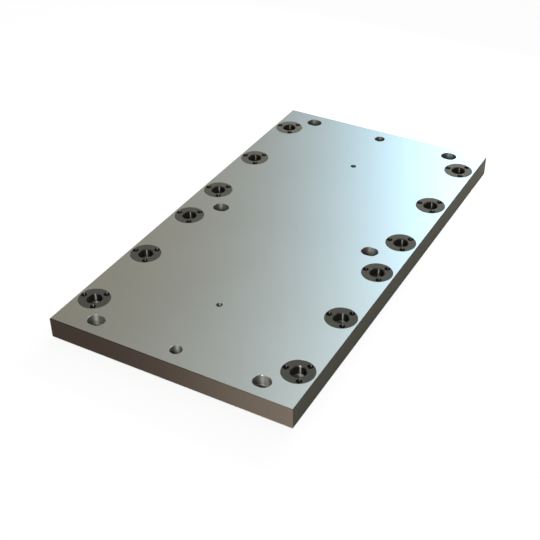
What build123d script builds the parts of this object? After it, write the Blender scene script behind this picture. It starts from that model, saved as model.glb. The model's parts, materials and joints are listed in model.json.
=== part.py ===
from build123d import *
import os

# A plate for zero point clamping. It lies on a machine table and carries receiver
# bushings in two columns. The shanks of a fixture drop into the bushings, and their
# balls spread under the conical seat inside each one and pull the fixture down.
# The origin is the centre of the plate's underside, +Z is up and +Y runs along the
# plate's long side. All sizes are in millimetres.

# Bushing screw: a socket head cap screw with a 4 mm thread
screw_thread = 4
screw_head_diameter = 7
screw_head_height = 4
screw_socket_size = 3
screw_socket_depth = 2
screw_grip = 3.5
screw_engagement = 8.5
screw_count = 3
first_screw_angle = 60

# Receiver bushing, from its bore outwards
bore_diameter = 20
bore_straight = 11
bore_lead_in = 1
ball_seat_depth = 2
pilot_wall = 2
thread_wall = 0.98
rim_wall = 0.45
head_recess = 2.5

# Clearances, each on one side of the fit
thread_gap = 0.05
shank_gap = 0.25
head_gap = 0.5
pilot_gap = 0.02
seat_gap = 0.05
flush_gap = 0.05
tapping_runout = 2

# Plate, and where its bushings are: columns by the wall left beside them, inner and
# middle rows from the plate's centre, outer rows from its ends
plate_width = 350
plate_length = 658
plate_thickness = 30
plate_edge_chamfer = 0.8
mouth_chamfer = 0.4
side_wall = 3.5
inner_row_offset = 40.5
middle_row_offset = 152
outer_row_margin = 60.5
pilot_recess = 8

# Slots for the table screws, which have a 12 mm thread
slot_spacing = 241
slot_end_margin = 25
slot_travel = 4
slot_width = 13.5
head_slot_width = 20
head_slot_depth = 13

# Locating holes for dowels, and tapped holes for lifting eyes with an 8 mm thread
dowel_diameter = 16
lifting_hole_offset = 202.5
lifting_core_diameter = 6.8
lifting_hole_depth = 16
lifting_mouth_diameter = 8.8

# Sizes that follow from those above
flange_thickness = head_recess + screw_head_height + screw_grip
screw_length = screw_grip + screw_engagement
thread_hole_diameter = screw_thread + 2 * thread_gap
head_bore_diameter = screw_head_diameter + 2 * head_gap
pilot_diameter = bore_diameter + 2 * ball_seat_depth + 2 * pilot_wall
pilot_hole_diameter = pilot_diameter + 2 * pilot_gap
screw_circle = pilot_hole_diameter + thread_hole_diameter + 2 * thread_wall
flange_diameter = screw_circle + head_bore_diameter + 2 * rim_wall
bushing_length = plate_thickness - flush_gap - pilot_recess
seat_depth = flange_thickness + flush_gap
seat_diameter = flange_diameter + 2 * seat_gap
flange_top = plate_thickness - flush_gap
column_offset = plate_width / 2 - side_wall - flange_diameter / 2
outer_row_offset = plate_length / 2 - outer_row_margin
slot_row_offset = plate_length / 2 - slot_end_margin

# Places of the bushings: two columns of six, row 1 at the -Y end
row_offsets = [
    -outer_row_offset,
    -middle_row_offset,
    -inner_row_offset,
    inner_row_offset,
    middle_row_offset,
    outer_row_offset,
]
columns = {"left": -column_offset, "right": column_offset}
stations = {
    f"{side}_{row}": (x, y)
    for side, x in columns.items()
    for row, y in enumerate(row_offsets, start=1)
}

os.makedirs("parts", exist_ok=True)

# Base plate: one thick slab with its outer edges broken
with BuildPart() as base_plate:
    with BuildSketch():
        Rectangle(plate_width, plate_length)
    extrude(amount=plate_thickness)
    chamfer(base_plate.edges(), plate_edge_chamfer)

    # Slots for the table screws, sunk so that the heads lie below the face
    with BuildSketch(Plane.XY.offset(plate_thickness)):
        with GridLocations(slot_spacing, slot_row_offset, 2, 3):
            SlotCenterToCenter(slot_travel, head_slot_width)
    extrude(amount=-head_slot_depth, mode=Mode.SUBTRACT)
    with BuildSketch():
        with GridLocations(slot_spacing, slot_row_offset, 2, 3):
            SlotCenterToCenter(slot_travel, slot_width)
    extrude(amount=plate_thickness, mode=Mode.SUBTRACT)

    # Dowel holes on the centre line, in the outer rows of slots
    with Locations(Plane.XY.offset(plate_thickness)):
        with GridLocations(0, 2 * slot_row_offset, 1, 2):
            Hole(radius=dowel_diameter / 2)

    # The mouths of slots and dowel holes are broken in the top face
    mouths = base_plate.faces().sort_by(Axis.Z)[-1].inner_wires()
    chamfer([edge for mouth in mouths for edge in mouth.edges()], mouth_chamfer)

    # A seat for the flange of each bushing, with the pilot's hole right through
    with Locations(Plane.XY.offset(plate_thickness)):
        with Locations(*stations.values()):
            CounterBoreHole(
                radius=pilot_hole_diameter / 2,
                counter_bore_radius=seat_diameter / 2,
                counter_bore_depth=seat_depth,
            )

    # Tapped holes under each flange for the bushing screws
    with Locations(Plane.XY.offset(plate_thickness - seat_depth)):
        with Locations(*stations.values()):
            with PolarLocations(screw_circle / 2, screw_count, first_screw_angle):
                Hole(
                    radius=thread_hole_diameter / 2,
                    depth=screw_engagement + tapping_runout,
                )

    # Tapped holes for the lifting eyes, on the centre line
    with Locations(Plane.XY.offset(plate_thickness)):
        with GridLocations(0, 2 * lifting_hole_offset, 1, 2):
            CounterSinkHole(
                radius=lifting_core_diameter / 2,
                counter_sink_radius=lifting_mouth_diameter / 2,
                depth=lifting_hole_depth,
                counter_sink_angle=90,
            )

base_plate.part.label = "base_plate"
export_step(base_plate.part, "parts/base_plate.step")

# Receiver bushing: a turned sleeve with a flange, drawn with its top face at z = 0.
# The bore is straight where it guides the shank. Below that it opens into a cone,
# which the shank's balls push up against.
bore_radius = bore_diameter / 2
ball_seat_radius = bore_radius + ball_seat_depth
bore_end = bore_lead_in + bore_straight
with BuildPart() as bushing_shape:
    with BuildSketch(Plane.XZ):
        with BuildLine():
            Polyline(
                (bore_radius, 0),
                (flange_diameter / 2, 0),
                (flange_diameter / 2, -flange_thickness),
                (pilot_diameter / 2, -flange_thickness),
                (pilot_diameter / 2, -bushing_length),
                (ball_seat_radius, -bushing_length),
                (ball_seat_radius, -bore_end - ball_seat_depth),
                (bore_radius, -bore_end),
                close=True,
            )
        make_face()
    revolve(axis=Axis.Z)
    bore_mouth = bushing_shape.edges().group_by(Axis.Z)[-1].sort_by(SortBy.RADIUS)[0]
    chamfer(bore_mouth, bore_lead_in)
    with PolarLocations(screw_circle / 2, screw_count, first_screw_angle):
        CounterBoreHole(
            radius=screw_thread / 2 + shank_gap,
            counter_bore_radius=head_bore_diameter / 2,
            counter_bore_depth=head_recess + screw_head_height,
        )

# Cap screw, drawn with the underside of its head at z = 0
with BuildPart() as screw_shape:
    with BuildSketch():
        Circle(screw_head_diameter / 2)
    extrude(amount=screw_head_height)
    with BuildSketch(Plane.XY.offset(screw_head_height)):
        RegularPolygon(screw_socket_size / 2, side_count=6, major_radius=False)
    extrude(amount=-screw_socket_depth, mode=Mode.SUBTRACT)
    with BuildSketch():
        Circle(screw_thread / 2)
    extrude(amount=-screw_length)

# One bushing and its group of screws at each station
for station, (x, y) in stations.items():
    with BuildPart() as receiver_bushing:
        with Locations((x, y, flange_top)):
            add(bushing_shape.part)
    receiver_bushing.part.label = f"receiver_bushing_{station}"
    export_step(receiver_bushing.part, f"parts/{receiver_bushing.part.label}.step")

    head_seat = flange_top - head_recess - screw_head_height
    with BuildPart() as bushing_screws:
        with Locations((x, y, head_seat)):
            with PolarLocations(screw_circle / 2, screw_count, first_screw_angle):
                add(screw_shape.part)
    bushing_screws.part.label = f"bushing_screws_{station}"
    export_step(bushing_screws.part, f"parts/{bushing_screws.part.label}.step")
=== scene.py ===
# A plate for zero point clamping, with twelve receiver bushings and their screws.
# It lies on a pale studio floor. All lengths are in metres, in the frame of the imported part.

import json
import math

import bmesh
import bpy
from bpy.props import FloatProperty, IntProperty, PointerProperty, StringProperty
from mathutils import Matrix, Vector


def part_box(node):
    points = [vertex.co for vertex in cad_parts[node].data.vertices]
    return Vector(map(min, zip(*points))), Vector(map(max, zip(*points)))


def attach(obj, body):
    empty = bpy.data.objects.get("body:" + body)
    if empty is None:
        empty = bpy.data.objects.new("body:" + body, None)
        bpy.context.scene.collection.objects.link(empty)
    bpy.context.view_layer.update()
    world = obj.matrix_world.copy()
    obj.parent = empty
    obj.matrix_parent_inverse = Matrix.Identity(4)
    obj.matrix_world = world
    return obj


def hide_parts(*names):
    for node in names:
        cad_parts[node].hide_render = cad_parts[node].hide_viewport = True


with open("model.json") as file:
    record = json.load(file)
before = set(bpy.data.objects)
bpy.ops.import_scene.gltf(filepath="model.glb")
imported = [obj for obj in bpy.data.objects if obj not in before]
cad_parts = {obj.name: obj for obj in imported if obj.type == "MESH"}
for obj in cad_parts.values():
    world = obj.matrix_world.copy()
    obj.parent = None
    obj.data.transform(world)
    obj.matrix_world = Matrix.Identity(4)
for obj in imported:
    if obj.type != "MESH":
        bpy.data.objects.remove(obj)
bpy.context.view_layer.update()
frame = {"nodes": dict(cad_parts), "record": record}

bl_info = {
    "name": "Zero Point Clamping Plate",
    "version": (1, 0, 0),
    "blender": (4, 5, 0),
    "location": "3D View > Sidebar > Clamping Plate",
    "description": "Adds a clamping plate with its receiver bushings and screws",
    "category": "Add Mesh",
}

MM = 0.001

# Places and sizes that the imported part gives
MOUNTS = {mount["name"]: mount for mount in frame["record"]["mounts"]}
BUSHING_NODE = "receiver_bushing_"
SCREW_NODE = "bushing_screws_"
STATIONS = sorted(n.removeprefix(BUSHING_NODE) for n in frame["nodes"] if n.startswith(BUSHING_NODE))
PLATE_LOW, PLATE_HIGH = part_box("base_plate")
BUSHING_LOW, BUSHING_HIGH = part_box(BUSHING_NODE + STATIONS[0])
SCREWS_LOW, SCREWS_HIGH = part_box(SCREW_NODE + STATIONS[0])
BUSHING_AXIS = (BUSHING_LOW + BUSHING_HIGH) / 2
FLANGE_RADIUS = (BUSHING_HIGH.x - BUSHING_LOW.x) / 2
SCREW_COUNT = 3
FIRST_SCREW_ANGLE = math.radians(60)

# How finely round outlines are divided
SEAT_SEGMENTS = 144
BORE_SEGMENTS = 96
SLOT_SEGMENTS = 64
SMALL_HOLE_SEGMENTS = 48
SCREW_SEGMENTS = 36
THREAD_STEPS = 8

# Places of the finishes in each piece's list of materials
FACE, SIDE, END, WALL, LEDGE, THREAD, EDGE = range(7)
TURNED, LEAD_IN, HONED, SCREW_HOLE, RELIEF = range(5)

# Faces that meet at less than this are shaded as one
SHARP_ANGLE = math.radians(28)

# A band of a screw needs some height, so its flat faces rise by this much
RISE = 0.01 * MM


def dims(mount):
    """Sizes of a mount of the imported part."""
    return MOUNTS[mount]["dims"]


def length(name, description, millimetres):
    """A length that the user can change."""
    return FloatProperty(
        name=name, description=description, default=millimetres * MM, min=0, precision=5, unit="LENGTH"
    )


def colour(name, description, hex_colour):
    """An sRGB colour that the user can change, as hex digits."""
    return StringProperty(name=name, description=description, default=hex_colour)


# What the user can change

class PlateSizes(bpy.types.PropertyGroup):
    edge_chamfer: length("Edge chamfer", "Chamfer on the outer edges", 0.8)
    mouth_chamfer: length("Mouth chamfer", "Chamfer at the mouths of slots and dowel holes", 0.4)
    seat_break: length("Seat break", "Fine break on the edge of each flange seat", 0.12)
    seat_gap: length("Seat gap", "Gap round each flange, on one side", 0.05)
    pilot_gap: length("Pilot gap", "Gap round each pilot, on one side", 0.02)
    slot_travel: length("Slot travel", "How far a table screw can move along its slot", 4)
    head_slot_width: length("Head slot width", "Width of the sunk part of each slot", 20)
    head_slot_depth: length("Head slot depth", "Depth of the sunk part of each slot", 13)
    lifting_mouth: length("Lifting hole mouth", "Diameter of the countersunk mouth", 8.8)
    lifting_depth: length("Lifting hole depth", "Depth of the holes for lifting eyes", 16)
    lifting_pitch: length("Lifting thread pitch", "Pitch of the thread for lifting eyes", 1.25)
    lifting_thread: length("Lifting thread depth", "Depth of that thread, on one side", 0.55)
    drill_point: length("Drill point", "Depth of the cone that the drill leaves", 1.9)
    tapped_hole: length("Tapped hole", "Diameter of the holes for the bushing screws", 4.1)
    tapped_depth: length("Tapped depth", "Depth of those holes below the flange seat", 10.5)


class BushingSizes(bpy.types.PropertyGroup):
    flange_thickness: length("Flange thickness", "Thickness of the flange", 10)
    pilot_diameter: length("Pilot diameter", "Diameter of the sleeve below the flange", 28)
    pilot_chamfer: length("Pilot chamfer", "Chamfer at the end of the sleeve", 0.5)
    rim_break: length("Rim break", "Fine break on the rim of the flange", 0.15)
    lead_in: length("Lead-in", "Chamfer at the mouth of the bore", 1)
    ball_seat: length("Ball seat", "How far the cone under the straight bore opens", 2)
    head_bore: length("Head bore", "Diameter of the sunk holes for the screw heads", 8)
    head_bore_break: length("Head bore break", "Fine break at the mouths of those holes", 0.2)
    shank_hole: length("Shank hole", "Diameter of the holes for the screw shanks", 4.5)


class ScrewSizes(bpy.types.PropertyGroup):
    thread: length("Thread", "Outer diameter of the thread", 4)
    pitch: length("Pitch", "Pitch of the thread", 0.7)
    thread_depth: length("Thread depth", "Depth of the thread, on one side", 0.38)
    head: length("Head", "Diameter of the head", 7)
    head_height: length("Head height", "Height of the head", 4)
    head_chamfer: length("Head chamfer", "Chamfer on the top edge of the head", 0.4)
    knurl: length("Knurl", "Depth of the knurl on the side of the head", 0.06)
    socket: length("Socket", "Width of the hexagon socket across its flats", 3)
    socket_depth: length("Socket depth", "Depth of the socket", 2)
    end_chamfer: length("End chamfer", "Chamfer at the end of the shank", 0.5)
    seed: IntProperty(name="Seed", description="Chooses how far each screw is turned", default=4)


class Finishes(bpy.types.PropertyGroup):
    ground_face: colour("Ground face", "Plate, ground top and underside", "#bcbab6")
    # The long sides' dark grey, far darker than the ground face of the same steel, is painted shade
    milled_side: colour("Milled side", "Plate, milled long sides", "#4c4a43")
    # The ends' dark brown is painted shade and a painted reflection of brownish surroundings
    milled_end: colour("Milled end", "Plate, milled ends", "#4a3d36")
    broken_edge: colour("Broken edge", "Plate, chamfers at the mouths of holes", "#a3a19d")
    # Darker than the ground face of the same steel: painted shade in the slots and holes
    machined_wall: colour("Machined wall", "Plate, walls of slots and holes", "#706f6b")
    tapped_thread: colour("Tapped thread", "Plate, threads of its holes", "#565450")
    turned_face: colour("Turned face", "Bushing, turned and hardened face", "#43403a")
    honed_bore: colour("Honed bore", "Bushing, honed bore", "#42413f")
    bored_relief: colour("Bored relief", "Bushing, wider part of the bore", "#8a8782")
    black_oxide: colour("Black oxide", "Screws, black oxide", "#2e2d2c")
    floor: colour("Floor", "Studio floor", "#fbfbfa")


class StageSettings(bpy.types.PropertyGroup):
    azimuth: FloatProperty(
        name="Azimuth", description="Camera angle round the plate",
        default=math.radians(28.49), subtype="ANGLE",
    )
    elevation: FloatProperty(
        name="Elevation", description="Camera angle above the horizon",
        default=math.radians(35.83), subtype="ANGLE",
    )
    distance: length("Distance", "From the camera to the point it looks at", 1374.4)
    aim_x: length("Aim across", "Point the camera looks at, across the plate", 35.1)
    aim_y: FloatProperty(
        name="Aim along", description="Point the camera looks at, along the plate",
        default=-96.2 * MM, unit="LENGTH",
    )
    lens: FloatProperty(name="Lens", description="Focal length, in millimetres", default=67.74)
    shift: FloatProperty(name="Shift", description="Sideways shift of the frame", default=-0.0231)
    fill: FloatProperty(
        name="Fill light", description="Brightness of the plain surroundings", default=0.25,
    )


# Outlines, as points round a centre

def circle(centre, radius, count, start=0):
    """Points spread evenly on a circle, from a start angle on."""
    turns = [start + 2 * math.pi * k / count for k in range(count)]
    return [(centre[0] + radius * math.cos(t), centre[1] + radius * math.sin(t)) for t in turns]


def slot(centre, radius, travel, segments):
    """Points of a slot with round ends, lengthened across the plate."""
    half = segments // 2
    points = []
    for end, start in ((1, -math.pi / 2), (-1, math.pi / 2)):
        for k in range(half + 1):
            turn = start + math.pi * k / half
            x = centre[0] + end * travel / 2 + radius * math.cos(turn)
            points.append((x, centre[1] + radius * math.sin(turn)))
    return points


def rectangle(inset):
    """Corners of the plate's outline, moved inwards."""
    low_x, low_y = PLATE_LOW.x + inset, PLATE_LOW.y + inset
    high_x, high_y = PLATE_HIGH.x - inset, PLATE_HIGH.y - inset
    return [(low_x, low_y), (high_x, low_y), (high_x, high_y), (low_x, high_y)]


# Mesh tools

def ring(mesh, outline, height):
    """Vertices of an outline at one height."""
    return [mesh.verts.new((x, y, height)) for x, y in outline]


def wall(mesh, upper, lower, finish):
    """Faces between two rings of as many vertices."""
    for k in range(len(upper)):
        face = mesh.faces.new((upper[k - 1], upper[k], lower[k], lower[k - 1]))
        face.material_index = finish


def walls(mesh, rings, finish):
    """Walls from each ring to the next. Gives the first and the last ring."""
    for upper, lower in zip(rings, rings[1:]):
        wall(mesh, upper, lower, finish)
    return rings[0], rings[-1]


def hole_in_plate(mesh, rings):
    """Walls of a hole and its broken mouth. Gives the first and the last ring."""
    wall(mesh, rings[0], rings[1], EDGE)
    walls(mesh, rings[1:], WALL)
    return rings[0], rings[-1]


def flat(mesh, rings, finish):
    """A flat face that the rings bound, the inner ones as holes in it."""
    edges = []
    for loop in rings:
        for k in range(len(loop)):
            pair = (loop[k - 1], loop[k])
            edges.append(mesh.edges.get(pair) or mesh.edges.new(pair))
    filled = bmesh.ops.triangle_fill(mesh, use_beauty=True, edges=edges, normal=(0, 0, 1))
    for item in filled["geom"]:
        if isinstance(item, bmesh.types.BMFace):
            item.material_index = finish


def drill_cone(mesh, rim, tip):
    """Closes a tapped hole with the cone that a drill leaves."""
    point = mesh.verts.new(tip)
    for k in range(len(rim)):
        mesh.faces.new((rim[k - 1], rim[k], point)).material_index = THREAD


def piece(name, mesh, materials, nodes):
    """Makes an object of a closed mesh, which stands for the CAD nodes and rides with the part."""
    bmesh.ops.recalc_face_normals(mesh, faces=mesh.faces)
    data = bpy.data.meshes.new(name)
    mesh.to_mesh(data)
    mesh.free()
    for material in materials:
        data.materials.append(material)
    data.shade_smooth()
    data.set_sharp_from_angle(angle=SHARP_ANGLE)
    made = bpy.data.objects.new(name, data)
    bpy.context.scene.collection.objects.link(made)
    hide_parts(*nodes)
    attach(made, "root")
    return made


# Node tools

def add(tree, kind, inputs=None, **settings):
    """Adds a node with its settings, and fills its inputs with values or links."""
    node = tree.nodes.new(kind)
    for name, value in settings.items():
        setattr(node, name, value)
    for name, value in (inputs or {}).items():
        if isinstance(value, bpy.types.NodeSocket):
            tree.links.new(value, node.inputs[name])
        else:
            node.inputs[name].default_value = value
    return node


def linear(hex_colour):
    """Linear RGBA of an sRGB colour given as hex digits, such as #8c8b87."""
    shares = [int(hex_colour[k:k + 2], 16) / 255 for k in (1, 3, 5)]
    return [s / 12.92 if s <= 0.04045 else ((s + 0.055) / 1.055) ** 2.4 for s in shares] + [1.0]


def new_material(name):
    """An empty material. Gives it with its tree and a Principled shader."""
    material = bpy.data.materials.new(name)
    material.use_nodes = True
    tree = material.node_tree
    tree.nodes.clear()
    shader = add(tree, "ShaderNodeBsdfPrincipled")
    add(tree, "ShaderNodeOutputMaterial", {"Surface": shader.outputs["BSDF"]})
    return material, tree, shader


# What tools leave on a surface

def uneven(tree, spacing, stretch=(1, 1, 1), detail=2, roughness=0.5):
    """An uneven pattern at a real spacing. A stretch under 1 draws it out along that axis."""
    place = add(tree, "ShaderNodeTexCoord").outputs["Object"]
    drawn_out = add(tree, "ShaderNodeMapping", {"Vector": place, "Scale": stretch})
    noise = add(
        tree, "ShaderNodeTexNoise",
        {
            "Vector": drawn_out.outputs[0], "Scale": 1 / spacing,
            "Detail": detail, "Roughness": roughness,
        },
    )
    return noise.outputs["Fac"]


def worked_surface(
    tree, shader, marks, hex_colour, darkest, roughness, dulling=None, relief=0, depth=0,
):
    """Marks that darken a colour, down to a share of it, and raise the surface. The roughness runs
    between two values, with the marks or with a pattern of its own."""
    base = linear(hex_colour)
    darker = [channel * darkest for channel in base[:3]] + [1]
    tint = add(tree, "ShaderNodeMix", {0: marks, 6: darker, 7: base}, data_type="RGBA")
    tree.links.new(tint.outputs[2], shader.inputs["Base Color"])
    smooth, rough = roughness
    dulled = add(
        tree, "ShaderNodeMapRange", {"Value": dulling or marks, "To Min": smooth, "To Max": rough},
    )
    tree.links.new(dulled.outputs[0], shader.inputs["Roughness"])
    if relief:
        bump = add(tree, "ShaderNodeBump", {"Height": marks, "Strength": relief, "Distance": depth})
        tree.links.new(bump.outputs[0], shader.inputs["Normal"])


def spread_upwards(tree, shader, strength):
    """Marks that run round a hole or along an edge spread light at right angles to themselves."""
    shader.inputs["Anisotropic"].default_value = strength
    up = add(tree, "ShaderNodeCombineXYZ", {"X": 0, "Y": 0, "Z": 1})
    tree.links.new(up.outputs[0], shader.inputs["Tangent"])


# Materials of the plate

def ground_steel(finishes):
    """Surface-ground tool steel: a bright satin face with a fine grain along the plate."""
    material, tree, shader = new_material("ground_steel")
    shader.inputs["Metallic"].default_value = 1
    # Grinding lines run along the plate. Real ones are 0.05 mm apart, drawn as 0.7 mm to show.
    lines = uneven(tree, spacing=0.7 * MM, stretch=(1, 0.02, 1), roughness=0.6)
    # Slow differences in how the wheel cut, about a hand wide
    patches = uneven(tree, spacing=90 * MM, detail=3)
    worked_surface(
        tree, shader, lines, finishes.ground_face, darkest=0.95, roughness=(0.22, 0.28),
        dulling=patches, relief=0.06, depth=0.02 * MM,
    )
    return material


def milled_steel(name, hex_colour, metallic, stretch):
    """Milled edges: a dull dark grey, which is painted shade for the dim light that the sides catch, and
    less metallic on the long sides than on the ends. The cutter's marks run along the edge, so light
    spreads up and down."""
    material, tree, shader = new_material(name)
    shader.inputs["Metallic"].default_value = metallic
    shader.inputs["Specular IOR Level"].default_value = 0
    spread_upwards(tree, shader, strength=0.9)
    # Real marks are about 0.3 mm apart, drawn as 0.8 mm to show
    marks = uneven(tree, spacing=0.8 * MM, stretch=stretch, detail=3, roughness=0.55)
    worked_surface(
        tree, shader, marks, hex_colour, darkest=0.76, roughness=(0.46, 0.6),
        relief=0.3, depth=0.05 * MM,
    )
    return material


def machined_wall(name, hex_colour, roughness, streak, spacing):
    """Bare cut steel: fine rings round a hole, so light streaks along its axis. Ledges, lead-ins and
    broken edges are given no streak. Real rings are 0.1 to 0.3 mm apart, and drawn wider to show."""
    material, tree, shader = new_material(name)
    shader.inputs["Metallic"].default_value = 1
    spread_upwards(tree, shader, streak)
    rings = uneven(tree, spacing, stretch=(0.05, 0.05, 1))
    spread = 0.03
    worked_surface(
        tree, shader, rings, hex_colour, darkest=0.85,
        roughness=(roughness - spread, roughness + spread),
    )
    return material


# Materials of the bushings and screws

def turned_steel(finishes):
    """Hardened steel, turned on its face. The dark skin from hardening is matt, so it shows no clear
    reflection, and rings run round the bushing's axis."""
    material, tree, shader = new_material("turned_steel")
    shader.inputs["Metallic"].default_value = 0.15
    shader.inputs["Specular IOR Level"].default_value = 0.15
    from_axis = add(tree, "ShaderNodeAttribute", attribute_name="from_axis")
    # The tool's feed is 0.1 mm. The rings are drawn at 0.8 mm, so that they show.
    ring_spacing = 0.8 * MM
    # At a scale of 1 the wave texture repeats itself after about this length
    wave_length = 0.31
    rings = add(
        tree, "ShaderNodeTexWave",
        {
            "Vector": from_axis.outputs["Vector"], "Scale": wave_length / ring_spacing,
            "Distortion": 0.4,
        },
        wave_type="RINGS", rings_direction="Z",
    )
    worked_surface(
        tree, shader, rings.outputs["Fac"], finishes.turned_face, darkest=0.84,
        roughness=(0.6, 0.66), relief=0.2, depth=0.02 * MM,
    )
    return material


def black_oxide_steel(finishes):
    """Alloy steel screws with a black oxide skin: deep black with a soft, oily sheen."""
    material, tree, shader = new_material("black_oxide_steel")
    shader.inputs["Metallic"].default_value = 0.8
    # The skin's own grain is far finer, and drawn as 0.5 mm to show
    grit = uneven(tree, spacing=0.5 * MM)
    worked_surface(tree, shader, grit, finishes.black_oxide, darkest=0.7, roughness=(0.35, 0.5))
    return material


# Base plate

def sunk_slot(mesh, sizes, centre):
    """A slot for a table screw. Gives its rings in the top face and in the underside."""
    top = PLATE_HIGH.z
    floor = top - sizes.head_slot_depth
    head_radius = sizes.head_slot_width / 2
    mouth = sizes.mouth_chamfer
    through_radius = dims("table_slots_corners")["hole_r_mm"] * MM

    def outline(radius):
        return slot(centre, radius, sizes.slot_travel, SLOT_SEGMENTS)

    sunk = [
        ring(mesh, outline(head_radius + mouth), top),
        ring(mesh, outline(head_radius), top - mouth),
        ring(mesh, outline(head_radius), floor),
    ]
    through = [ring(mesh, outline(through_radius), height) for height in (floor, PLATE_LOW.z)]
    upper, floor_rim = hole_in_plate(mesh, sunk)
    floor_hole, lower = walls(mesh, through, WALL)
    flat(mesh, [floor_rim, floor_hole], LEDGE)
    return upper, lower


def dowel_hole(mesh, sizes, mount):
    """A plain hole for a dowel. Gives its rings in the top face and in the underside."""
    centre = MOUNTS[mount]["pos_m"]
    radius = dims(mount)["r_mm"] * MM
    mouth = sizes.mouth_chamfer
    steps = [(radius + mouth, PLATE_HIGH.z), (radius, PLATE_HIGH.z - mouth), (radius, PLATE_LOW.z)]
    rings = [ring(mesh, circle(centre, r, BORE_SEGMENTS), z) for r, z in steps]
    return hole_in_plate(mesh, rings)


def lifting_hole(mesh, sizes, mount):
    """A tapped blind hole with a countersunk mouth. Gives its ring in the top face."""
    centre = MOUNTS[mount]["pos_m"]
    core = dims(mount)["r_mm"] * MM
    top = PLATE_HIGH.z
    mouth_radius = sizes.lifting_mouth / 2
    thread_top = top - (mouth_radius - core)
    thread_end = top - sizes.lifting_depth
    turns = (thread_top - thread_end) / sizes.lifting_pitch
    count = round(turns * THREAD_STEPS)
    rings = [ring(mesh, circle(centre, mouth_radius, SMALL_HOLE_SEGMENTS), top)]
    for step in range(count + 1):
        # The groove winds down the hole, and runs in and out over the first and last turn
        run = min(1, step / THREAD_STEPS, (count - step) / THREAD_STEPS)
        outline = []
        for k, (x, y) in enumerate(circle((0, 0), 1, SMALL_HOLE_SEGMENTS)):
            phase = (step / THREAD_STEPS + k / SMALL_HOLE_SEGMENTS) % 1
            groove = 1 - abs(2 * phase - 1)
            radius = core + sizes.lifting_thread * groove * run
            outline.append((centre[0] + x * radius, centre[1] + y * radius))
        height = thread_top + (thread_end - thread_top) * step / count
        rings.append(ring(mesh, outline, height))
    mouth, bottom = walls(mesh, rings, THREAD)
    drill_cone(mesh, bottom, (centre[0], centre[1], thread_end - sizes.drill_point))
    return mouth


def flange_seat(mesh, sizes, bushing, screw_circle, axis):
    """The stepped pocket of one bushing. Gives its rings in the top face and in the underside."""
    top = PLATE_HIGH.z
    floor = BUSHING_HIGH.z - bushing.flange_thickness
    seat_radius = FLANGE_RADIUS + sizes.seat_gap
    pilot_radius = bushing.pilot_diameter / 2 + sizes.pilot_gap
    edge = sizes.seat_break
    seat_steps = [(seat_radius + edge, top), (seat_radius, top - edge), (seat_radius, floor)]
    seat = [ring(mesh, circle(axis, r, SEAT_SEGMENTS), z) for r, z in seat_steps]
    pilot = [ring(mesh, circle(axis, pilot_radius, BORE_SEGMENTS), z) for z in (floor, PLATE_LOW.z)]
    upper, floor_rim = hole_in_plate(mesh, seat)
    floor_hole, lower = walls(mesh, pilot, WALL)
    floor_rings = [floor_rim, floor_hole]
    tapped_end = floor - sizes.tapped_depth
    drill_end = tapped_end - sizes.tapped_hole / 4
    for centre in circle(axis, screw_circle, SCREW_COUNT, FIRST_SCREW_ANGLE):
        outline = circle(centre, sizes.tapped_hole / 2, SCREW_SEGMENTS)
        rim, bottom = walls(mesh, [ring(mesh, outline, z) for z in (floor, tapped_end)], THREAD)
        drill_cone(mesh, bottom, (*centre, drill_end))
        floor_rings.append(rim)
    flat(mesh, floor_rings, WALL)
    return upper, lower


def base_plate_mesh(scene):
    """The whole plate as one closed mesh. The sides' painted dark shade covers its outer chamfers too.
    """
    sizes, bushing = scene.plate_sizes, scene.bushing_sizes
    mesh = bmesh.new()
    edge = sizes.edge_chamfer
    low, high = PLATE_LOW.z, PLATE_HIGH.z
    steps = [(edge, high), (0, high - edge), (0, low + edge), (edge, low)]
    over, under = walls(mesh, [ring(mesh, rectangle(inset), z) for inset, z in steps], SIDE)
    for face in mesh.faces:
        if abs(face.calc_center_median().y) > PLATE_HIGH.y - edge:
            face.material_index = END

    pairs = []
    corners = dims("table_slots_corners")
    half_x, half_y = corners["spacing_x_mm"] / 2 * MM, corners["spacing_y_mm"] / 2 * MM
    for x in (-half_x, half_x):
        for y in (-half_y, 0, half_y):
            pairs.append(sunk_slot(mesh, sizes, (x, y)))
    pairs += [dowel_hole(mesh, sizes, mount) for mount in ("dowel_hole_near", "dowel_hole_far")]
    screw_circle = screw_circle_radius(scene)
    for station in STATIONS:
        pairs.append(flange_seat(mesh, sizes, bushing, screw_circle, station_axis(station)))
    mouths = [lifting_hole(mesh, sizes, m) for m in ("lifting_hole_near", "lifting_hole_far")]
    flat(mesh, [over] + mouths + [upper for upper, lower in pairs], FACE)
    flat(mesh, [under] + [lower for upper, lower in pairs], FACE)
    return mesh


def station_axis(station):
    """Where a bushing's axis stands on the plate."""
    low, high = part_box(BUSHING_NODE + station)
    return ((low.x + high.x) / 2, (low.y + high.y) / 2)


def screw_circle_radius(scene):
    """How far the screws stand from their bushing's axis, told by the one straight to its -X side."""
    return BUSHING_AXIS.x - SCREWS_LOW.x - scene.screw_sizes.head / 2


# Receiver bushing

def screw_hole(mesh, scene, centre):
    """The stepped hole of one screw. Gives its rings in the flange's face and in its underside."""
    sizes = scene.bushing_sizes
    top = BUSHING_HIGH.z
    head_radius, shank_radius = sizes.head_bore / 2, sizes.shank_hole / 2
    head_seat = SCREWS_HIGH.z - scene.screw_sizes.head_height
    steps = [
        (head_radius + sizes.head_bore_break, top),
        (head_radius, top - sizes.head_bore_break),
        (head_radius, head_seat),
        (shank_radius, head_seat),
        (shank_radius, top - sizes.flange_thickness),
    ]
    rings = [ring(mesh, circle(centre, r, SMALL_HOLE_SEGMENTS), z) for r, z in steps]
    return walls(mesh, rings, SCREW_HOLE)


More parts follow.
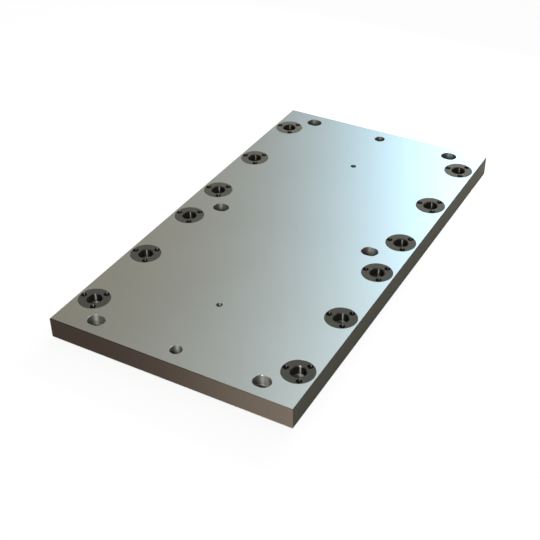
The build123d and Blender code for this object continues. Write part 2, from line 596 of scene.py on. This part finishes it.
def bushing_mesh(scene, axis):
    """A turned sleeve with a flange, three sunk screw holes and a stepped bore, as one closed mesh."""
    sizes = scene.bushing_sizes
    mesh = bmesh.new()
    top, bottom = BUSHING_HIGH.z, BUSHING_LOW.z
    underside = top - sizes.flange_thickness
    pilot_radius = sizes.pilot_diameter / 2
    bore = dims("receiver_bore_" + STATIONS[0])
    bore_radius = bore["r_mm"] * MM
    straight_end = top - sizes.lead_in - bore["length_mm"] * MM
    seat_radius = bore_radius + sizes.ball_seat

    def rings(segments, steps):
        return [ring(mesh, circle(axis, r, segments), z) for r, z in steps]

    rim = rings(SEAT_SEGMENTS, [
        (FLANGE_RADIUS - sizes.rim_break, top),
        (FLANGE_RADIUS, top - sizes.rim_break),
        (FLANGE_RADIUS, underside),
    ])
    sleeve = rings(BORE_SEGMENTS, [
        (pilot_radius, underside),
        (pilot_radius, bottom + sizes.pilot_chamfer),
        (pilot_radius - sizes.pilot_chamfer, bottom),
        (seat_radius, bottom),
    ])
    guide = rings(BORE_SEGMENTS, [
        (bore_radius + sizes.lead_in, top),
        (bore_radius, top - sizes.lead_in),
        (bore_radius, straight_end),
    ])
    seat_end = ring(mesh, circle(axis, seat_radius, BORE_SEGMENTS), straight_end - sizes.ball_seat)
    rim_top, rim_end = walls(mesh, rim, TURNED)
    sleeve_top, sleeve_end = walls(mesh, sleeve, TURNED)
    wall(mesh, guide[0], guide[1], LEAD_IN)
    wall(mesh, guide[1], guide[2], HONED)
    wall(mesh, guide[2], seat_end, RELIEF)
    wall(mesh, seat_end, sleeve_end, RELIEF)

    face_rings = [rim_top, guide[0]]
    underside_rings = [rim_end, sleeve_top]
    for centre in circle(axis, screw_circle_radius(scene), SCREW_COUNT, FIRST_SCREW_ANGLE):
        mouth, end = screw_hole(mesh, scene, centre)
        face_rings.append(mouth)
        underside_rings.append(end)
    flat(mesh, face_rings, TURNED)
    flat(mesh, underside_rings, TURNED)
    return mesh


def mark_axis(data, axis):
    """Stores where each vertex lies from the bushing's axis, for the turning marks."""
    marks = data.attributes.new("from_axis", "FLOAT_VECTOR", "POINT")
    for vertex, mark in zip(data.vertices, marks.data):
        mark.vector = vertex.co - Vector((*axis, BUSHING_HIGH.z))


# Bushing screws

def scaled_round_axis(tree, mesh, factor):
    """Moves a mesh's vertices out from the Z axis, by a factor that may differ at each."""
    place = add(tree, "GeometryNodeInputPosition").outputs[0]
    scale = add(tree, "ShaderNodeCombineXYZ", {"X": factor, "Y": factor, "Z": 1})
    moved = add(tree, "ShaderNodeVectorMath", {0: place, 1: scale.outputs[0]}, operation="MULTIPLY")
    stretched = add(tree, "GeometryNodeSetPosition", {"Geometry": mesh, "Position": moved.outputs[0]})
    return stretched.outputs[0]


def band(tree, low_radius, low, high_radius, high, rows=1):
    """A round band between two heights, of one radius at each."""
    cone = add(
        tree, "GeometryNodeMeshCone",
        {
            "Vertices": SCREW_SEGMENTS, "Side Segments": rows, "Radius Bottom": low_radius,
            "Radius Top": high_radius, "Depth": high - low,
        },
        fill_type="NONE",
    )
    raised = add(
        tree, "GeometryNodeTransform", {"Geometry": cone.outputs[0], "Translation": (0, 0, low)},
    )
    return raised.outputs[0]


def factor_between(tree, height, low, high, factor):
    """A factor that holds between two heights, and is 1 past them."""
    above = add(
        tree, "FunctionNodeCompare", {0: height, 1: low}, data_type="FLOAT", operation="GREATER_THAN",
    )
    below = add(
        tree, "FunctionNodeCompare", {0: height, 1: high}, data_type="FLOAT", operation="LESS_THAN",
    )
    inside = add(tree, "FunctionNodeBooleanMath", {0: above.outputs[0], 1: below.outputs[0]})
    chosen = add(
        tree, "GeometryNodeSwitch",
        {"Switch": inside.outputs[0], "False": 1.0, "True": factor}, input_type="FLOAT",
    )
    return chosen.outputs[0]


def joined(tree, parts):
    """Several meshes as one."""
    node = add(tree, "GeometryNodeJoinGeometry")
    for part in parts:
        tree.links.new(part, node.inputs[0])
    return node.outputs[0]


def screw_shank(tree, sizes, height, angle):
    """The shank: a chamfered end, a thread and the flat under the head."""
    radius, chamfer = sizes.thread / 2, sizes.end_chamfer
    end = SCREWS_LOW.z - (SCREWS_HIGH.z - sizes.head_height)
    rows = round((-end - chamfer) / sizes.pitch * THREAD_STEPS / 2)
    thread = band(tree, radius, end + chamfer, radius, 0, rows)

    # The groove is deepest where height and turn together come to half a pitch
    wound = add(tree, "ShaderNodeMath", {0: angle, 1: 1 / (2 * math.pi)}, operation="MULTIPLY")
    risen = add(
        tree, "ShaderNodeMath",
        {0: height, 1: 1 / sizes.pitch, 2: wound.outputs[0]}, operation="MULTIPLY_ADD",
    )
    wave = add(tree, "ShaderNodeMath", {0: risen.outputs[0], 1: 0.5}, operation="PINGPONG")
    cut = add(
        tree, "ShaderNodeMath",
        {0: wave.outputs[0], 1: -2 * sizes.thread_depth / radius, 2: 1}, operation="MULTIPLY_ADD",
    )
    plain = 0.1 * MM
    turns = factor_between(tree, height, end + chamfer + plain, -plain, cut.outputs[0])
    return joined(tree, [
        band(tree, 0, end, radius - chamfer, end + RISE),
        band(tree, radius - chamfer, end + RISE, radius, end + chamfer),
        scaled_round_axis(tree, thread, turns),
        band(tree, radius, 0, sizes.head / 2, RISE),
    ])


def screw_head(tree, sizes, height, angle):
    """The head's outside: a knurled side between two plain edges, and a chamfer."""
    radius, chamfer, top = sizes.head / 2, sizes.head_chamfer, sizes.head_height

    # The knurl draws in every second vertex
    half_depth = sizes.knurl / 2 / radius
    waves = add(tree, "ShaderNodeMath", {0: angle, 1: SCREW_SEGMENTS / 2}, operation="MULTIPLY")
    cosine = add(tree, "ShaderNodeMath", {0: waves.outputs[0]}, operation="COSINE")
    knurl = add(
        tree, "ShaderNodeMath",
        {0: cosine.outputs[0], 1: half_depth, 2: 1 - half_depth}, operation="MULTIPLY_ADD",
    )
    plain_below, plain_above, fade = 0.3 * MM, 0.2 * MM, 0.05 * MM
    low, high = plain_below, top - chamfer - plain_above
    heights = [RISE, low - fade, low, high, high + fade, top - chamfer]
    side = joined(tree, [
        band(tree, radius, start, radius, end) for start, end in zip(heights, heights[1:])
    ])
    grip = factor_between(tree, height, low - fade / 2, high + fade / 2, knurl.outputs[0])
    return joined(tree, [
        scaled_round_axis(tree, side, grip),
        band(tree, radius, top - chamfer, radius - chamfer, top - RISE),
    ])


def screw_socket(tree, sizes, height, angle):
    """The hexagon socket, and the flat top of the head from its mouth to the chamfer."""
    radius, top = sizes.socket / 2, sizes.head_height
    floor = top - sizes.socket_depth
    point = 0.6 * MM

    # A hexagon is a circle whose radius grows towards its corners
    sixth = add(tree, "ShaderNodeMath", {0: angle, 1: math.pi / 3}, operation="FLOORED_MODULO")
    from_flat = add(tree, "ShaderNodeMath", {0: sixth.outputs[0], 1: math.pi / 6}, operation="SUBTRACT")
    cosine = add(tree, "ShaderNodeMath", {0: from_flat.outputs[0]}, operation="COSINE")
    corner = add(tree, "ShaderNodeMath", {0: 1.0, 1: cosine.outputs[0]}, operation="DIVIDE").outputs[0]
    hollow = joined(tree, [
        band(tree, 0, floor - point, radius, floor),
        band(tree, radius, floor, radius, top),
    ])
    flat_top = band(tree, sizes.head / 2 - sizes.head_chamfer, top - RISE, radius, top)
    mouth = factor_between(tree, height, top - RISE / 2, top + RISE, corner)
    return joined(tree, [
        scaled_round_axis(tree, hollow, corner),
        scaled_round_axis(tree, flat_top, mouth),
    ])


def screw_tree(scene, material):
    """Geometry nodes that make one socket head cap screw and set it round each bushing's axis."""
    sizes = scene.screw_sizes
    tree = bpy.data.node_groups.new("bushing_screws", "GeometryNodeTree")
    kinds = {
        "Centre": "Vector", "Screw Circle": "Float", "Screws": "Int", "First Angle": "Float",
        "Seed": "Int",
    }
    for name, kind in kinds.items():
        tree.interface.new_socket(name, in_out="INPUT", socket_type="NodeSocket" + kind)
    tree.interface.new_socket("Geometry", in_out="OUTPUT", socket_type="NodeSocketGeometry")
    given = add(tree, "NodeGroupInput").outputs

    # Height above the head's seat and angle round the axis, from which the screw's parts follow
    place = add(tree, "GeometryNodeInputPosition").outputs[0]
    apart = add(tree, "ShaderNodeSeparateXYZ", {0: place}).outputs
    height = apart["Z"]
    angle = add(tree, "ShaderNodeMath", {0: apart["Y"], 1: apart["X"]}, operation="ARCTAN2").outputs[0]
    parts = [make(tree, sizes, height, angle) for make in (screw_shank, screw_head, screw_socket)]
    seam = 0.002 * MM
    screw = add(
        tree, "GeometryNodeMergeByDistance", {"Geometry": joined(tree, parts), "Distance": seam},
    )

    # Places of the screws round the bushing, each turned as it happened to be tightened
    spots = add(
        tree, "GeometryNodeMeshCircle",
        {"Vertices": given["Screws"], "Radius": given["Screw Circle"]},
    )
    turn = add(tree, "ShaderNodeCombineXYZ", {"X": 0, "Y": 0, "Z": given["First Angle"]})
    placed = add(
        tree, "GeometryNodeTransform",
        {"Geometry": spots.outputs[0], "Translation": given["Centre"], "Rotation": turn.outputs[0]},
    )
    spin = add(
        tree, "FunctionNodeRandomValue",
        {2: 0.0, 3: math.pi / 3, 8: given["Seed"]}, data_type="FLOAT",
    )
    spin_axis = add(tree, "ShaderNodeCombineXYZ", {"X": 0, "Y": 0, "Z": spin.outputs[1]})
    screws = add(
        tree, "GeometryNodeInstanceOnPoints",
        {"Points": placed.outputs[0], "Instance": screw.outputs[0], "Rotation": spin_axis.outputs[0]},
    )
    real = add(tree, "GeometryNodeRealizeInstances", {"Geometry": screws.outputs[0]})
    painted = add(tree, "GeometryNodeSetMaterial", {"Geometry": real.outputs[0], "Material": material})
    add(tree, "NodeGroupOutput", {"Geometry": painted.outputs[0]})
    return tree


def screws_mesh(tree, values):
    """Runs the screw nodes once with these input values, and gives the result as an edit mesh."""
    carrier = bpy.data.objects.new("screw_carrier", bpy.data.meshes.new("screw_carrier"))
    bpy.context.scene.collection.objects.link(carrier)
    modifier = carrier.modifiers.new("Screws", "NODES")
    modifier.node_group = tree
    for item in tree.interface.items_tree:
        if item.name in values:
            modifier[item.identifier] = values[item.name]
    evaluated = carrier.evaluated_get(bpy.context.evaluated_depsgraph_get())
    made = bpy.data.meshes.new_from_object(evaluated)
    mesh = bmesh.new()
    mesh.from_mesh(made)
    carrier.modifiers.remove(modifier)
    bpy.data.objects.remove(carrier)
    return mesh


# Stage

def glow(tree, direction, azimuth, elevation, sharpness, light):
    """A soft round light in the surroundings. Azimuth 0 is +Y, and 90 is +X, in degrees."""
    a, e = math.radians(azimuth), math.radians(elevation)
    centre = (math.sin(a) * math.cos(e), math.cos(a) * math.cos(e), math.sin(e))
    near = add(tree, "ShaderNodeVectorMath", {0: direction, 1: centre}, operation="DOT_PRODUCT")
    power = add(
        tree, "ShaderNodeMath",
        {0: near.outputs["Value"], 1: sharpness, 2: -sharpness}, operation="MULTIPLY_ADD",
    )
    share = add(tree, "ShaderNodeMath", {0: power.outputs[0]}, operation="EXPONENT")
    lit = add(tree, "ShaderNodeVectorMath", {0: light, "Scale": share.outputs[0]}, operation="SCALE")
    return lit.outputs[0]


def surroundings(settings):
    """A soft studio: slightly warm fill, cool light behind the plate, weaker light to its sides and
    in front of it, and a white wall that the floor runs into."""
    world = bpy.data.worlds.new("soft_studio")
    bpy.context.scene.world = world
    world.use_nodes = True
    tree = world.node_tree
    tree.nodes.clear()
    generated = add(tree, "ShaderNodeTexCoord").outputs["Generated"]
    direction = add(tree, "ShaderNodeVectorMath", {0: generated}, operation="NORMALIZE").outputs[0]
    red, green, blue = (settings.fill * share for share in (1, 0.92, 0.76))
    total = add(tree, "ShaderNodeCombineXYZ", {"X": red, "Y": green, "Z": blue}).outputs[0]
    glows = [
        # Behind the plate, as the camera sees it: cool light on the right, a little warm on the left
        glow(tree, direction, azimuth=-8.8, elevation=26.1, sharpness=70, light=(3.2, 5.7, 7.7)),
        glow(tree, direction, azimuth=-2.1, elevation=49.1, sharpness=27, light=(2.3, 2.85, 3.1)),
        glow(tree, direction, azimuth=-34, elevation=22, sharpness=20, light=(0.14, 0.11, 0.05)),
        # To its sides
        glow(tree, direction, azimuth=33, elevation=28, sharpness=20, light=(1.2, 1.2, 1.1)),
        glow(tree, direction, azimuth=65, elevation=36, sharpness=50, light=(2, 2, 2)),
        glow(tree, direction, azimuth=105, elevation=45, sharpness=4, light=(0.5, 0.5, 0.5)),
        glow(tree, direction, azimuth=-75, elevation=15, sharpness=8, light=(0.19, 0.2, 0.15)),
        # In front of it
        glow(tree, direction, azimuth=205, elevation=40, sharpness=5, light=(0.4, 0.4, 0.4)),
    ]
    for light in glows:
        total = add(tree, "ShaderNodeVectorMath", {0: total, 1: light}, operation="ADD").outputs[0]
    # The wall is plain white up to 13 degrees above the horizon, and gone at 20 degrees
    height = add(tree, "ShaderNodeSeparateXYZ", {0: direction}).outputs["Z"]
    wall_top, wall_end = math.sin(math.radians(13)), math.sin(math.radians(20))
    above_wall = add(
        tree, "ShaderNodeMapRange",
        {"Value": height, "From Min": wall_top, "From Max": wall_end},
        interpolation_type="SMOOTHSTEP",
    )
    colour_above = add(
        tree, "ShaderNodeMix",
        {0: above_wall.outputs[0], 6: (1, 1, 1, 1), 7: total}, data_type="RGBA",
    )
    shader = add(tree, "ShaderNodeBackground", {"Color": colour_above.outputs[2], "Strength": 1})
    add(tree, "ShaderNodeOutputWorld", {"Surface": shader.outputs[0]})


def floor_material(finishes):
    """Matt white floor. It is plain white to the eye and in reflections, except under the plate, where a
    painted shadow dims it, and keeps a soft shadow.
    """
    material = bpy.data.materials.new("studio_floor")
    material.use_nodes = True
    tree = material.node_tree
    tree.nodes.clear()
    matt = add(tree, "ShaderNodeBsdfDiffuse", {"Color": linear(finishes.floor)})
    plain = add(tree, "ShaderNodeEmission", {"Color": (1, 1, 1, 1), "Strength": 1})
    path = add(tree, "ShaderNodeLightPath").outputs
    seen = path["Is Camera Ray"]
    for ray in ("Is Glossy Ray", "Is Transmission Ray"):
        seen = add(tree, "ShaderNodeMath", {0: seen, 1: path[ray]}, operation="MAXIMUM").outputs[0]
    # Under the plate the floor keeps a fifth of its glow: a painted shadow under the plate, with the
    # fifth left for the light low in the holes
    kept = 0.2
    place = add(tree, "ShaderNodeTexCoord").outputs["Object"]
    apart = add(tree, "ShaderNodeSeparateXYZ", {0: place}).outputs
    for axis, edge in (("X", PLATE_HIGH.x), ("Y", PLATE_HIGH.y)):
        off_centre = add(tree, "ShaderNodeMath", {0: apart[axis]}, operation="ABSOLUTE").outputs[0]
        past = add(tree, "ShaderNodeMath", {0: off_centre, 1: edge}, operation="GREATER_THAN")
        kept = add(tree, "ShaderNodeMath", {0: kept, 1: past.outputs[0]}, operation="MAXIMUM").outputs[0]
    # A tenth of the floor stays matt, which lets the shadow show
    glow_share = 0.9
    share = add(tree, "ShaderNodeMath", {0: seen, 1: kept}, operation="MULTIPLY").outputs[0]
    share = add(tree, "ShaderNodeMath", {0: share, 1: glow_share}, operation="MULTIPLY").outputs[0]
    mixed = add(tree, "ShaderNodeMixShader", {0: share, 1: matt.outputs[0], 2: plain.outputs[0]})
    add(tree, "ShaderNodeOutputMaterial", {"Surface": mixed.outputs[0]})
    return material


def studio_floor(finishes):
    """The floor that the plate lies on. It reaches far enough for its edge to stay out of sight."""
    reach = 30
    mesh = bmesh.new()
    corners = ((-reach, -reach), (reach, -reach), (reach, reach), (-reach, reach))
    mesh.faces.new(ring(mesh, corners, 0))
    data = bpy.data.meshes.new("studio_floor")
    mesh.to_mesh(data)
    mesh.free()
    data.materials.append(floor_material(finishes))
    floor = bpy.data.objects.new("studio_floor", data)
    bpy.context.scene.collection.objects.link(floor)


def area_lamp(name, place, target, width, height, power, tint):
    """A soft rectangular lamp, which the camera doesn't see."""
    data = bpy.data.lights.new(name, "AREA")
    data.shape = "RECTANGLE"
    data.size = width
    data.size_y = height
    data.energy = power
    data.color = tint
    lamp = bpy.data.objects.new(name, data)
    lamp.location = place
    lamp.rotation_mode = "QUATERNION"
    lamp.rotation_quaternion = (Vector(target) - Vector(place)).to_track_quat("-Z", "Y")
    lamp.visible_camera = False
    bpy.context.scene.collection.objects.link(lamp)
    return lamp


def camera(settings):
    """The camera, at the angle of the photograph."""
    a, e = settings.azimuth, settings.elevation
    back = Vector((math.sin(a) * math.cos(e), -math.cos(a) * math.cos(e), math.sin(e)))
    aim = Vector((settings.aim_x, settings.aim_y, PLATE_HIGH.z))
    data = bpy.data.cameras.new("camera")
    # Lens and sensor are in millimetres
    data.lens = settings.lens
    data.sensor_width = 36
    data.shift_x = settings.shift
    made = bpy.data.objects.new("camera", data)
    made.location = aim + back * settings.distance
    made.rotation_mode = "QUATERNION"
    made.rotation_quaternion = (-back).to_track_quat("-Z", "Y")
    bpy.context.scene.collection.objects.link(made)
    bpy.context.scene.camera = made


# Operators

class AddBasePlate(bpy.types.Operator):
    """Adds the base plate, with its seats, slots and holes"""

    bl_idname = "mesh.clamping_base_plate"
    bl_label = "Base Plate"

    def execute(self, context):
        scene = context.scene
        finishes = scene.finishes
        materials = [
            ground_steel(finishes),
            # The sides and ends are painted dark as shade, and the ends' brown is also a painted
            # reflection
            milled_steel("milled_side", finishes.milled_side, metallic=0.25, stretch=(1, 0.03, 1)),
            milled_steel("milled_end", finishes.milled_end, metallic=1, stretch=(0.03, 1, 1)),
            # The walls' darker colour is painted shade in the slots and holes
            machined_wall(
                "machined_wall", finishes.machined_wall, roughness=0.6, streak=0.6, spacing=0.6 * MM,
            ),
            machined_wall(
                "milled_ledge", finishes.ground_face, roughness=0.45, streak=0, spacing=0.6 * MM,
            ),
            machined_wall(
                "tapped_thread", finishes.tapped_thread, roughness=0.55, streak=0.6, spacing=0.4 * MM,
            ),
            machined_wall(
                "broken_edge", finishes.broken_edge, roughness=0.15, streak=0, spacing=0.4 * MM,
            ),
        ]
        piece("plate", base_plate_mesh(scene), materials, ["base_plate"])
        return {"FINISHED"}


class AddReceiverBushings(bpy.types.Operator):
    """Adds a receiver bushing at each of its stations"""

    bl_idname = "mesh.receiver_bushings"
    bl_label = "Receiver Bushings"

    def execute(self, context):
        scene = context.scene
        finishes = scene.finishes
        materials = [
            turned_steel(finishes),
            machined_wall("lead_in", finishes.honed_bore, roughness=0.25, streak=0, spacing=0.4 * MM),
            machined_wall(
                "honed_bore", finishes.honed_bore, roughness=0.36, streak=1, spacing=0.5 * MM,
            ),
            machined_wall(
                "screw_hole", finishes.honed_bore, roughness=0.36, streak=1, spacing=0.4 * MM,
            ),
            machined_wall(
                "bored_relief", finishes.bored_relief, roughness=0.6, streak=0.8, spacing=0.4 * MM,
            ),
        ]
        for station in STATIONS:
            axis = station_axis(station)
            made = piece(
                "bushing_" + station, bushing_mesh(scene, axis), materials,
                [BUSHING_NODE + station],
            )
            mark_axis(made.data, axis)
        return {"FINISHED"}


class AddBushingScrews(bpy.types.Operator):
    """Adds the three socket head cap screws of each bushing"""

    bl_idname = "mesh.bushing_screws"
    bl_label = "Bushing Screws"

    def execute(self, context):
        scene = context.scene
        material = black_oxide_steel(scene.finishes)
        tree = screw_tree(scene, material)
        head_seat = SCREWS_HIGH.z - scene.screw_sizes.head_height
        for number, station in enumerate(STATIONS):
            values = {
                "Centre": (*station_axis(station), head_seat),
                "Screw Circle": screw_circle_radius(scene),
                "Screws": SCREW_COUNT,
                "First Angle": FIRST_SCREW_ANGLE,
                "Seed": scene.screw_sizes.seed + number,
            }
            mesh = screws_mesh(tree, values)
            piece("screws_" + station, mesh, [material], [SCREW_NODE + station])
        return {"FINISHED"}


class AddStudio(bpy.types.Operator):
    """Adds the floor, the light and the camera"""

    bl_idname = "scene.clamping_plate_studio"
    bl_label = "Studio"

    def execute(self, context):
        scene = context.scene
        settings = scene.stage_settings
        scene.view_settings.view_transform = "Standard"
        surroundings(settings)
        studio_floor(scene.finishes)
        # The front lamp shows in reflections alone, mostly as a streak down each bore
        front_lamp = area_lamp(
            "front_lamp", place=(0.157, -1.08, 0.54), target=(0, -0.1, 0.03),
            width=0.05, height=0.4, power=26, tint=(0.96, 1, 0.97),
        )
        front_lamp.visible_diffuse = False
        # The rear lamp lights matt surfaces alone
        rear_lamp = area_lamp(
            "rear_lamp", place=(0, 0.6, 0.35), target=(0, 0.1, 0.03),
            width=0.6, height=0.2, power=10, tint=(1, 0.98, 0.92),
        )
        rear_lamp.visible_glossy = False
        # The edge lamp stands low in front of the near end
        area_lamp(
            "edge_lamp", place=(-0.1, -1.1, 0.06), target=(0.15, -0.3, 0.02),
            width=0.3, height=0.06, power=5.5, tint=(0.74, 1, 1),
        )
        camera(settings)
        return {"FINISHED"}


class ClampingPlatePanel(bpy.types.Panel):
    """Sizes and finishes of the clamping plate, and what adds its pieces"""

    bl_idname = "VIEW3D_PT_clamping_plate"
    bl_label = "Clamping Plate"
    bl_space_type = "VIEW_3D"
    bl_region_type = "UI"
    bl_category = "Clamping Plate"

    def draw(self, context):
        layout = self.layout
        for operator in OPERATORS:
            layout.operator(operator.bl_idname)
        for group in GROUPS:
            box = layout.box()
            box.label(text=group.replace("_", " ").capitalize())
            settings = getattr(context.scene, group)
            for name in settings.__annotations__:
                box.prop(settings, name)


GROUPS = {
    "plate_sizes": PlateSizes,
    "bushing_sizes": BushingSizes,
    "screw_sizes": ScrewSizes,
    "finishes": Finishes,
    "stage_settings": StageSettings,
}
OPERATORS = (AddBasePlate, AddReceiverBushings, AddBushingScrews, AddStudio)
CLASSES = (*GROUPS.values(), *OPERATORS, ClampingPlatePanel)


def register():
    for item in CLASSES:
        bpy.utils.register_class(item)
    for name, group in GROUPS.items():
        setattr(bpy.types.Scene, name, PointerProperty(type=group))


def unregister():
    for name in GROUPS:
        delattr(bpy.types.Scene, name)
    for item in reversed(CLASSES):
        bpy.utils.unregister_class(item)


def main():
    """Builds the plate on its stage."""
    register()
    bpy.ops.mesh.clamping_base_plate()
    bpy.ops.mesh.receiver_bushings()
    bpy.ops.mesh.bushing_screws()
    bpy.ops.scene.clamping_plate_studio()


if __name__ == "__main__":
    main()
